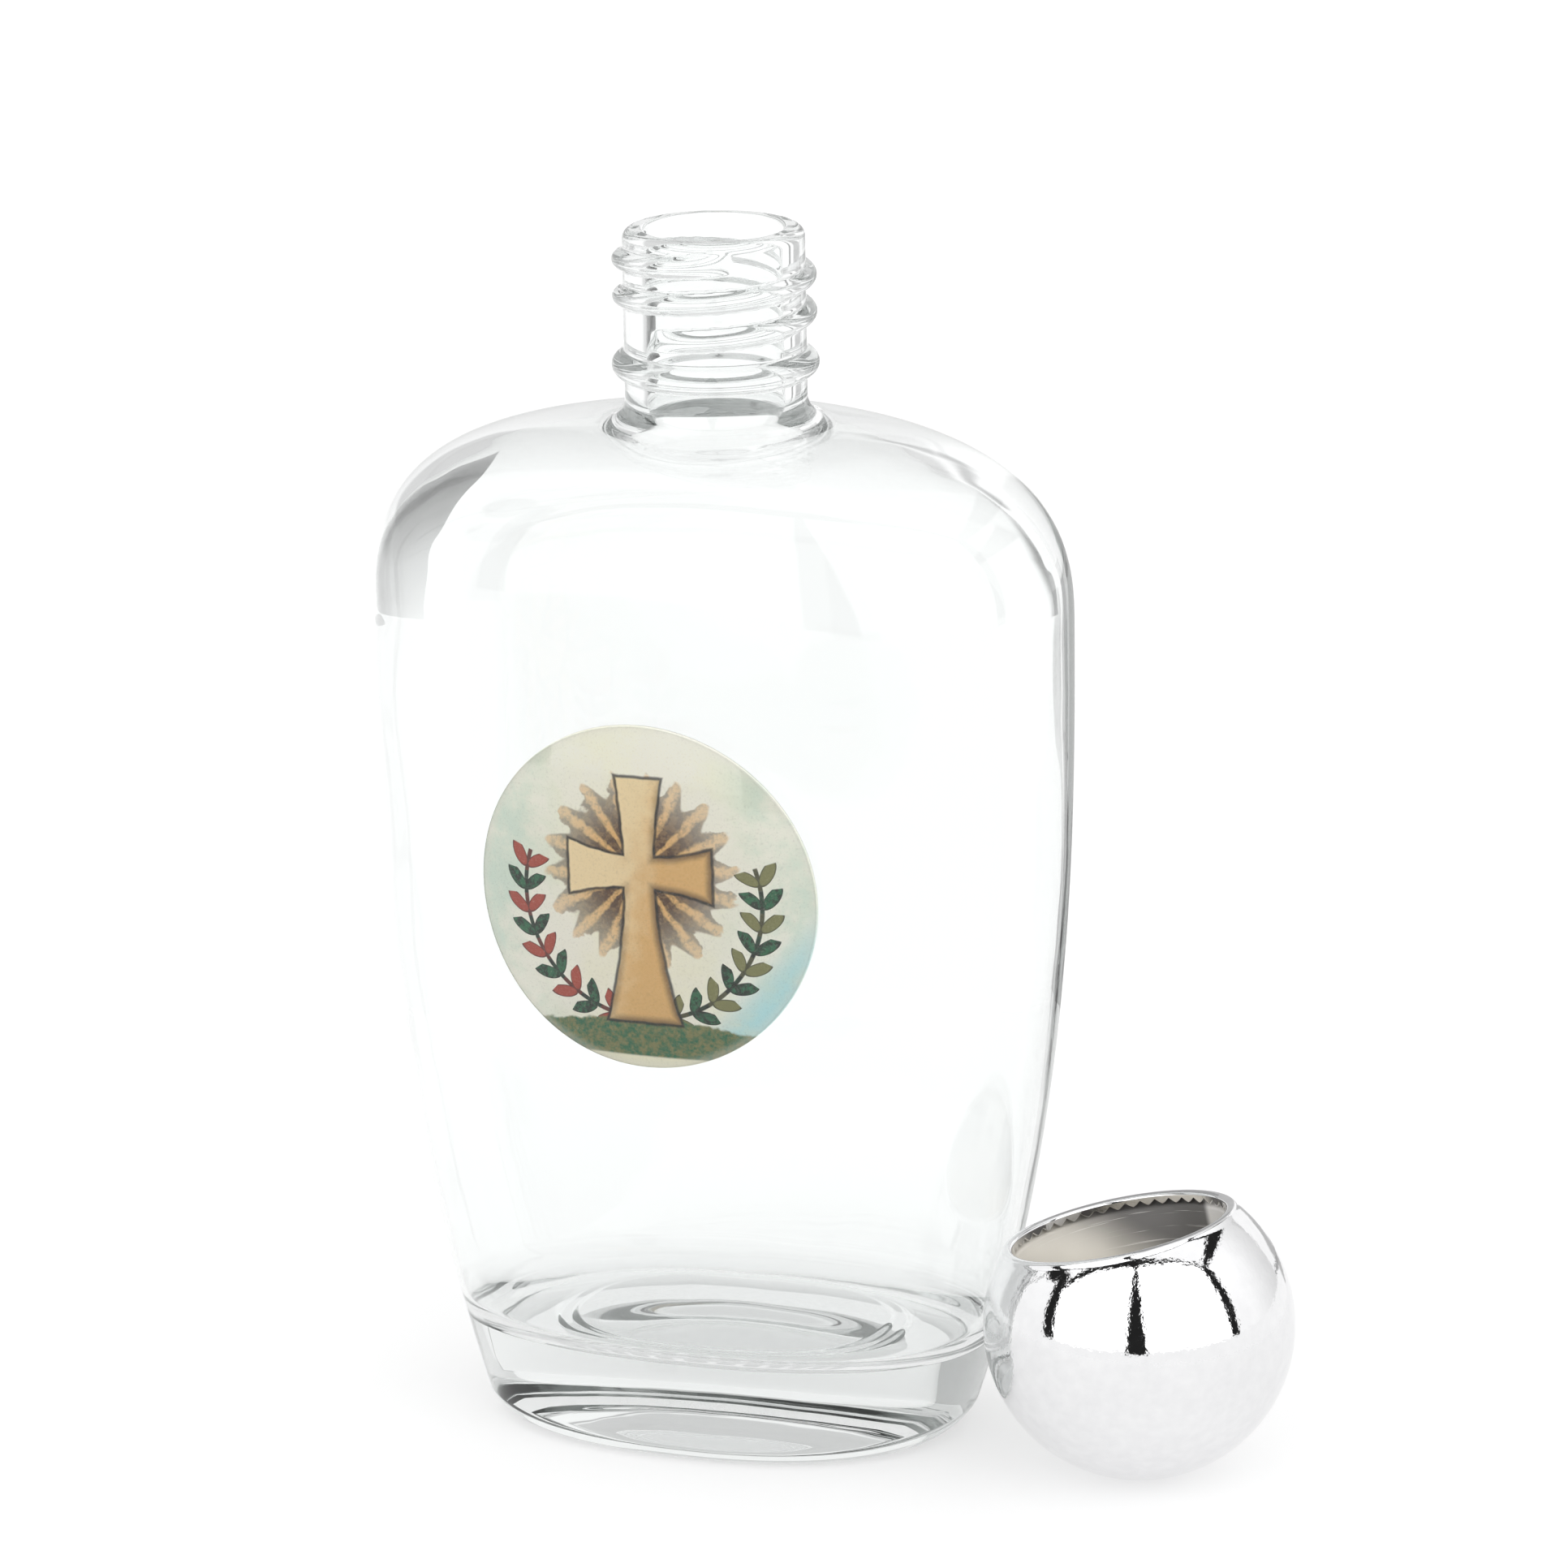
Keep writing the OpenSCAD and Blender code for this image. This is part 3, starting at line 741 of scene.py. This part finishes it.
def insert_material():
    material, tree, shader = new_material("grey_plastic")
    where = cap_coordinates(tree)
    stretch = tree.nodes.new("ShaderNodeVectorMath")
    stretch.operation = "MULTIPLY"
    stretch.inputs[1].default_value = (60, 60, 3600)
    tree.links.new(where, stretch.inputs[0])
    scratch = noise(tree, stretch.outputs[0], 1, 4, 0.7)
    shade_wobble = noise(tree, where, 120, 2)
    x, y, z = split(tree, where)
    far_side = x * 0.93 + y * 0.36
    # Painted shade: the inner wall darkens towards the right and towards the mouth with a wavy edge, and
    # stays pale low on the left
    painted_shade = ((far_side + (z - 0.006) * 1.8) / SKIRT_R + (shade_wobble - 0.5) * 0.5).between(-0.8, 0.4)
    colour = ramp(tree, PLASTIC_PALE, PLASTIC_PAINTED_SHADE, painted_shade)
    # Painted highlight: a bright strip at the far right of the inner wall
    painted_highlight = (far_side / SKIRT_R).between(0.8, 0.86) * 0.8
    colour = ramp(tree, colour, PLASTIC_PAINTED_HIGHLIGHT, painted_highlight)
    colour = ramp(tree, colour, PLASTIC_SCRATCH, scratch.between(0.58, 0.66) * 0.6)
    tree.links.new(colour, shader.inputs["Base Color"])
    shader.inputs["Metallic"].default_value = 0.2
    connect(tree, scratch.between(0.3, 0.8, 0.34, 0.5), shader.inputs["Roughness"])
    bump(tree, shader, scratch, 0.04, 0.0001)
    return material


def liner_material():
    material, tree, shader = new_material("liner_foam")
    where = cap_coordinates(tree)
    cells = noise(tree, where, 4000, 3)
    tree.links.new(ramp(tree, LINER_DIM, LINER_BRIGHT, cells), shader.inputs["Base Color"])
    shader.inputs["Roughness"].default_value = 0.8
    bump(tree, shader, cells, 0.3, 0.0001)
    return material


def floor_material():
    material, tree, shader = new_material("pale_floor")
    shade = noise(tree, place_coordinates(tree), 6, 3)
    tree.links.new(ramp(tree, FLOOR_DIM, FLOOR_BRIGHT, shade), shader.inputs["Base Color"])
    shader.inputs["Roughness"].default_value = 0.7
    shader.inputs["Specular IOR Level"].default_value = 0.2
    # The white sheet is lit from below as well
    shader.inputs["Emission Color"].default_value = (1, 1, 1, 1)
    shader.inputs["Emission Strength"].default_value = FLOOR_LIT
    return material


def card_material():
    material, tree, shader = new_material("grey_card")
    shade = noise(tree, place_coordinates(tree), 30, 3)
    tree.links.new(ramp(tree, CARD_DIM, CARD_BRIGHT, shade), shader.inputs["Base Color"])
    shader.inputs["Roughness"].default_value = 0.9
    return material


# The pieces

glass = make_mesh("flask_glass", outside_rings() + lip_rings() + inside_rings())
dress(glass, "flask", "bottle_glass", glass_material())

film = make_mesh("badge_film", badge_rings(BADGE_R, film_shape()))
dress(film, "flask", "label_film", print_material())

dome = make_mesh("badge_dome", badge_rings(BADGE_R - 2 * SEAT, dome_shape()))
dress(dome, "flask", "label_dome", resin_material())

lying = Matrix.Translation(BALL_CENTRE) @ Matrix.Rotation(-CAP_LEAN, 4, "Y")
ball = make_mesh("ball_shell", shell_rings(), lying)
dress(ball, "cap", "cap_shell", chrome_material())

insert = make_mesh("ball_insert", insert_rings(), lying)
dress(insert, "cap", "cap_insert", insert_material())

liner = make_mesh("ball_liner", liner_rings(), lying)
dress(liner, "liner", "cap_liner", liner_material())

# Floor, camera and light

TABLE_R, STUDIO_R, FLOOR_DROP, FLOOR_SIDES = 0.12, 6.0, 0.0002, 96


def lay_floor(name, radius, z, material):
    turns = angles_of(FLOOR_SIDES)
    mesh = bpy.data.meshes.new(name)
    mesh.from_pydata(
        [(radius * math.cos(t), radius * math.sin(t), z) for t in turns],
        [],
        [tuple(range(FLOOR_SIDES))],
    )
    mesh.materials.append(material)
    sheet = bpy.data.objects.new(name, mesh)
    bpy.context.scene.collection.objects.link(sheet)
    return sheet


# The table lights and mirrors in the pieces; the wide floor only fills the picture behind it
pale = floor_material()
lay_floor("table", TABLE_R, 0, pale)
floor = lay_floor("floor", STUDIO_R, -FLOOR_DROP, pale)
floor.visible_diffuse = False
floor.visible_glossy = False
floor.visible_transmission = False
floor.visible_shadow = False

# A grey card lies on the table out of the picture, for the glass to show along its right wall. It is
# painted shade: only the glass and the chrome show it, and it casts no shadow
CARD_TURN, CARD_START, CARD_END, CARD_SLOPE = math.radians(21.4), 0.08, 3.0, 0.05
card_along = Vector((math.sin(CARD_TURN), math.cos(CARD_TURN), 0))
card_across = Vector((card_along.y, -card_along.x, 0)) * (CARD_SLOPE * (CARD_END - CARD_START))
card_mesh = bpy.data.meshes.new("card")
card_mesh.from_pydata(
    [card_along * CARD_START, card_along * CARD_END + card_across, card_along * CARD_END - card_across],
    [],
    [(0, 1, 2)],
)
card_mesh.materials.append(card_material())
card = bpy.data.objects.new("card", card_mesh)
card.location.z = FLOOR_DROP / 2
card.visible_camera = False
card.visible_diffuse = False
card.visible_shadow = False
bpy.context.scene.collection.objects.link(card)

# Two dark cards stand close behind the flask, for the glass to show on its shoulders. They are painted
# shade and light:
# each glows in a run of greys, and only light that comes through the glass unmirrored meets them
CARDS_TURN, CARDS_AWAY = math.radians(21.28), 0.05
FLAG_LOW, FLAG_HIGH, FLAG_FAR, FLAG_LOW_SIDE, FLAG_HIGH_SIDE = 0.0585, 0.095, -0.08, -0.0283, -0.0223
FLAG_DARK_SIDE, FLAG_DARK_Z, FLAG_SLOPE, FLAG_FADE, FLAG_DARK = -0.0253, 0.0915, 1.05, 34.0, 0.01
STRIP_SIDE, STRIP_WIDE, STRIP_CORE, STRIP_DARK = 0.0422, 0.006, 0.25, 0.03
STRIP_BENDS, STRIP_LEANS = (0.076, 0.097), (0.45, 0.5)
STRIP_HEIGHTS = (0.058, 0.067, 0.076, 0.097, 0.104, 0.112)


def card_glow_material(name, grey_at):
    """A dark card glowing in a run of greys: painted shade and light for the glass. The mirrored light
    inside the glass passes through it.
    """
    material, tree, shader = new_material(name)
    x, y, z = split(tree, place_coordinates(tree))
    side = x * math.cos(CARDS_TURN) + y * math.sin(CARDS_TURN)
    shader.inputs["Base Color"].default_value = (0, 0, 0, 1)
    shader.inputs["Specular IOR Level"].default_value = 0
    shader.inputs["Emission Color"].default_value = (1, 1, 1, 1)
    connect(tree, grey_at(side, z), shader.inputs["Emission Strength"])
    path = tree.nodes.new("ShaderNodeLightPath")
    clear = tree.nodes.new("ShaderNodeBsdfTransparent")
    mix = tree.nodes.new("ShaderNodeMixShader")
    connect(tree, Field(tree, path.outputs["Glossy Depth"]).least(1.0), mix.inputs[0])
    tree.links.new(shader.outputs[0], mix.inputs[1])
    tree.links.new(clear.outputs[0], mix.inputs[2])
    tree.links.new(mix.outputs[0], tree.nodes["Material Output"].inputs["Surface"])
    return material


def stand_card(name, corners, material):
    across = Vector((math.cos(CARDS_TURN), math.sin(CARDS_TURN), 0))
    away = Vector((-math.sin(CARDS_TURN), math.cos(CARDS_TURN), 0)) * CARDS_AWAY
    mesh = bpy.data.meshes.new(name)
    points = [away + across * side + Vector((0, 0, z)) for side, z in corners]
    mesh.from_pydata(points, [], [tuple(range(len(points)))])
    mesh.materials.append(material)
    sheet = bpy.data.objects.new(name, mesh)
    sheet.visible_camera = False
    sheet.visible_diffuse = False
    sheet.visible_glossy = False
    sheet.visible_shadow = False
    bpy.context.scene.collection.objects.link(sheet)


def flag_grey(side, z):
    """Dark above a slanting line and lighter below it."""
    return ((side - FLAG_DARK_SIDE) * FLAG_SLOPE + FLAG_DARK_Z - z).most(0.0) * FLAG_FADE + FLAG_DARK


def strip_edge(z):
    """How far out the strip's dark edge is at a height: it leans out below and in above."""
    outwards = max(0, STRIP_BENDS[0] - z) * STRIP_LEANS[0]
    inwards = max(0, z - STRIP_BENDS[1]) * STRIP_LEANS[1]
    return STRIP_SIDE + outwards - inwards


def strip_grey(side, z):
    """Dark at the outer edge and fading towards the flask's middle."""
    outwards = (STRIP_BENDS[0] - z).most(0.0) * STRIP_LEANS[0]
    inwards = (z - STRIP_BENDS[1]).most(0.0) * STRIP_LEANS[1]
    from_edge = side - (outwards - inwards) - STRIP_SIDE
    return from_edge.between(-STRIP_WIDE, -STRIP_WIDE * STRIP_CORE, 1.0, STRIP_DARK)


flag_corners = [
    (FLAG_LOW_SIDE, FLAG_LOW),
    (FLAG_HIGH_SIDE, FLAG_HIGH),
    (FLAG_FAR, FLAG_HIGH),
    (FLAG_FAR, FLAG_LOW),
]
stand_card("flag", flag_corners, card_glow_material("flag_card", flag_grey))
strip_corners = [(strip_edge(z), z) for z in STRIP_HEIGHTS]
strip_corners += [(strip_edge(z) - STRIP_WIDE, z) for z in STRIP_HEIGHTS[::-1]]
stand_card("strip", strip_corners, card_glow_material("strip_card", strip_grey))

CAMERA_AZIMUTH, CAMERA_ELEVATION, CAMERA_ROLL = (math.radians(v) for v in (21.28, 15.33, -0.95))
CAMERA_DISTANCE, AIM_RIGHT, AIM_UP = 0.721, 0.00523, 0.05677
PHOTO_SIDE, FOCAL_PIXELS, SENSOR, CAMERA_REACH = 1932, 10265, 36.0, 50

right = Vector((math.cos(CAMERA_AZIMUTH), math.sin(CAMERA_AZIMUTH), 0))
back = Vector((
    math.sin(CAMERA_AZIMUTH) * math.cos(CAMERA_ELEVATION),
    -math.cos(CAMERA_AZIMUTH) * math.cos(CAMERA_ELEVATION),
    math.sin(CAMERA_ELEVATION),
))
up = back.cross(right)
rolled_right = right * math.cos(CAMERA_ROLL) + up * math.sin(CAMERA_ROLL)
rolled_up = up * math.cos(CAMERA_ROLL) - right * math.sin(CAMERA_ROLL)
camera_data = bpy.data.cameras.new("camera")
camera_data.sensor_fit = "HORIZONTAL"
camera_data.sensor_width = SENSOR
camera_data.lens = FOCAL_PIXELS / PHOTO_SIDE * SENSOR
camera_data.clip_end = CAMERA_REACH
camera = bpy.data.objects.new("camera", camera_data)
aim = right * AIM_RIGHT + Vector((0, 0, AIM_UP))
facing = Matrix((rolled_right, rolled_up, back)).transposed().to_4x4()
camera.matrix_world = Matrix.Translation(aim + back * CAMERA_DISTANCE) @ facing
bpy.context.scene.collection.objects.link(camera)
bpy.context.scene.camera = camera

# The light tent: how bright its walls, roof and back are, and what the camera itself sees behind the floor
FRONT_GLOW, ROOF_GLOW, WALL_GLOW, BACK_GLOW, BACKDROP_GLOW = 1.7, 1.2, 1.08, 0.74, 1.2
# What light that was mirrored inside the glass finds in front, and what is left in the darkest seam
INNER_GLOW, SEAM_GLOW = 0.7, 0.02
EDGE_SHADE, BACK_SHADE = 0.6, 0.5
IN_DEGREES, IN_RADIANS = 180 / math.pi, math.pi / 180

# Its seams, in degrees round from the front and up from the table. A pair says where a soft edge starts
# and where it ends
TABLE_LINE = (-2.0, -1.0)
FRONT_FROM, FRONT_TO, INNER_FROM, INNER_TO = (-54, -50), (92, 95), (-110, -100), (85, 95)
LEFT_AT, LEFT_LEAN, LEFT_HALF, LEFT_END = -51.5, 0.16, 4.4, (38, 42)
RIGHT_AT, RIGHT_HALF, RIGHT_END = 93.5, 3.6, (44, 47)
TOP_AT, TOP_CURVE, TOP_RISE, LEAST_SWING = 25, -0.8, 2.95, 0.1
TOP_FROM, TOP_TO, TOP_THINS, TOP_HALVES = (-58, -52), (93, 97), (10, 60), (3.2, 1.5)
GAP_AT, GAP_LEAN, GAP_NARROWS, GAP_HALF, GAP_FOOT = 16.6, 0.03, -0.085, 7.4, (-4.0, -3.0)
SLANT_AT, SLANT_RISE, SLANT_WIDENS, SLANT_THIN = 112, 1.05, 0.05, 2.6
SLANT_FROM, SLANT_TO = (93, 97), (158, 166)
WALL_DIMS, WALL_SHADES, WALL_END = (110, 165), (-0.05, 0.3), (157, 159)
CORNER_AT, CORNER_WIDE, CORNER_Z, CORNER_TALL, CORNER_EDGE = -69, 9, 35, 7, (0.7, 1.2)
EDGE_LEAN, EDGE_RISE, EDGE_HALF, EDGE_FROM = 1.3, 126.4, 0.9, (-92, -88)
# The back's, in degrees round from the back, apart from the dim stretch beside it
ARCH_START, ARCH_WIDE, ARCH_FALLS, ARCH_HEIGHTS = 4, 18, (6, 15), (25.0, 13.5)
ARCH_HALF, ARCH_SOFT, ARCH_FROM, ARCH_TO, ARCH_OVER = 1.3, 1.1, (-2, 0), (20, 24), (2.0, 4.0)
LOW_HALF, LOW_SOFT, LOW_TOP = 10, 2.0, (-2, 0)
DIM_FROM, DIM_TO, DIM_FOOT = (-172, -164), (-114, -104), (-6, 0)
BACK_DEPTH, BACK_FOOT, BACK_RIGHT, BACK_LEFT = (0.15, 0.45), (2, 6), (156, 160), (-1, 1)


def band(off, half, edge=0.6):
    """1 where off is less than half to either side, with soft edges."""
    return (abs(off) - half).between(-edge, edge, 1.0, 0.0)


def light_tent():
    """A white light tent round the table, with the seams and the camera's gap that the chrome shows."""
    world = bpy.data.worlds.new("light_tent")
    world.use_nodes = True
    tree = world.node_tree
    background = tree.nodes["Background"]
    source = tree.nodes.new("ShaderNodeTexCoord")
    x, y, z = split(tree, source.outputs["Generated"])
    # Degrees round from the front and from the back, and up from the table
    azimuth = x.math("ARCTAN2", y * -1.0) * IN_DEGREES
    behind = (x * -1.0).math("ARCTAN2", y) * IN_DEGREES
    elevation = z.least(1.0).most(-1.0).math("ARCSINE") * IN_DEGREES
    # Light that was mirrored, light that was never in the glass, and light that was mirrored inside it
    path = tree.nodes.new("ShaderNodeLightPath")
    mirrored = Field(tree, path.outputs["Glossy Depth"]).least(1.0)
    outside = 1.0 - Field(tree, path.outputs["Transmission Depth"]).least(1.0)
    inner = (mirrored - outside - Field(tree, path.outputs["Diffuse Depth"])).most(0.0)

    # The front wall between two upright bars, with the camera's gap in it, under a curved top edge
    above = elevation.between(*TABLE_LINE)
    left_seam = elevation * LEFT_LEAN + azimuth - LEFT_AT
    left_bar = band(left_seam, LEFT_HALF) * above * elevation.between(*LEFT_END, 1.0, 0.0)
    right_bar = band(azimuth - RIGHT_AT, RIGHT_HALF) * above * elevation.between(*RIGHT_END, 1.0, 0.0)
    swing = ((azimuth - TOP_AT) * IN_RADIANS).math("COSINE").most(LEAST_SWING)
    top_edge = elevation - ((swing * TOP_CURVE + TOP_RISE) * swing).math("ARCTANGENT") * IN_DEGREES
    under = top_edge.between(0.0, 1.0, 1.0, 0.0)
    top_half = azimuth.between(*TOP_THINS, *TOP_HALVES)
    top_bar = band(top_edge, top_half) * azimuth.within(TOP_FROM, TOP_TO)
    gap = band(azimuth + elevation * GAP_LEAN - GAP_AT, elevation * GAP_NARROWS + GAP_HALF)
    gap = gap * under * elevation.between(*GAP_FOOT)

    # The side walls: a slanting top edge on the right, a dark corner and a thin edge on the left
    slant = ((azimuth - SLANT_AT) * IN_RADIANS).math("COSINE").most(LEAST_SWING) * SLANT_RISE
    slant = elevation - slant.math("ARCTANGENT") * IN_DEGREES
    slant_bar = band(slant, azimuth * SLANT_WIDENS - SLANT_THIN) * azimuth.within(SLANT_FROM, SLANT_TO)
    spot = square((azimuth - CORNER_AT) / CORNER_WIDE) + square((elevation - CORNER_Z) / CORNER_TALL)
    dark_corner = spot.between(*CORNER_EDGE, 1.0, 0.0)
    left_edge = band(elevation - azimuth * EDGE_LEAN - EDGE_RISE, EDGE_HALF)
    left_edge = left_edge * azimuth.between(*EDGE_FROM) * above

    # The back wall ends under an arch and above a low line, with a dim stretch on the left
    bend = ((behind * -1.0 - ARCH_START) / ARCH_WIDE).most(0.0).least(1.0)
    arch = elevation - behind.between(*ARCH_FALLS, *ARCH_HEIGHTS) * (1.0 - square(bend)) ** 0.5
    arch_line = band(arch, ARCH_HALF, ARCH_SOFT) * behind.within(ARCH_FROM, ARCH_TO)
    low = band(behind, LOW_HALF, LOW_SOFT) * elevation.between(*LOW_TOP, 1.0, 0.0)
    dim = azimuth.within(DIM_FROM, DIM_TO) * elevation.between(*DIM_FOOT) * outside

    bars = left_bar.most(right_bar).most(top_bar).most(gap).most(slant_bar).most(dark_corner)
    soft = (left_edge * EDGE_SHADE).most(arch_line.most(low).most(dim) * BACK_SHADE * mirrored)
    front = azimuth.within(FRONT_FROM, FRONT_TO) * under
    right_wall = azimuth.between(*FRONT_TO) * slant.between(-1.0, 1.0, 1.0, 0.0)
    wall_shade = azimuth.between(*WALL_DIMS, *WALL_SHADES) * azimuth.between(*WALL_END, 1.0, 0.0)
    over_back = y.between(*BACK_DEPTH) * arch.between(*ARCH_OVER) * elevation.between(*BACK_FOOT)
    over_back = over_back * azimuth.between(*BACK_RIGHT).most(behind.between(*BACK_LEFT))
    glow = elevation.between(0.0, 40.0, WALL_GLOW, ROOF_GLOW)
    glow = glow + (FRONT_GLOW - glow) * front * above
    glow = glow + (INNER_GLOW - glow) * azimuth.within(INNER_FROM, INNER_TO) * inner
    glow = glow - right_wall * wall_shade * above
    glow = glow + (BACK_GLOW - glow) * over_back
    glow = glow * (1.0 - bars.most(soft)) + SEAM_GLOW

    seen = Field(tree, path.outputs["Is Camera Ray"])
    connect(tree, glow.most(seen * BACKDROP_GLOW), background.inputs["Strength"])
    background.inputs["Color"].default_value = (1, 1, 1, 1)
    bpy.context.scene.world = world


light_tent()

# Light runs a long way inside the thick glass before it comes out
GLASS_BOUNCES, DIFFUSE_BOUNCES = 128, 8
cycles = bpy.context.scene.cycles
cycles.max_bounces = GLASS_BOUNCES
cycles.transmission_bounces = GLASS_BOUNCES
cycles.glossy_bounces = GLASS_BOUNCES
cycles.diffuse_bounces = DIFFUSE_BOUNCES

view = bpy.context.scene.view_settings
view.view_transform = "Standard"
view.exposure = 0.0
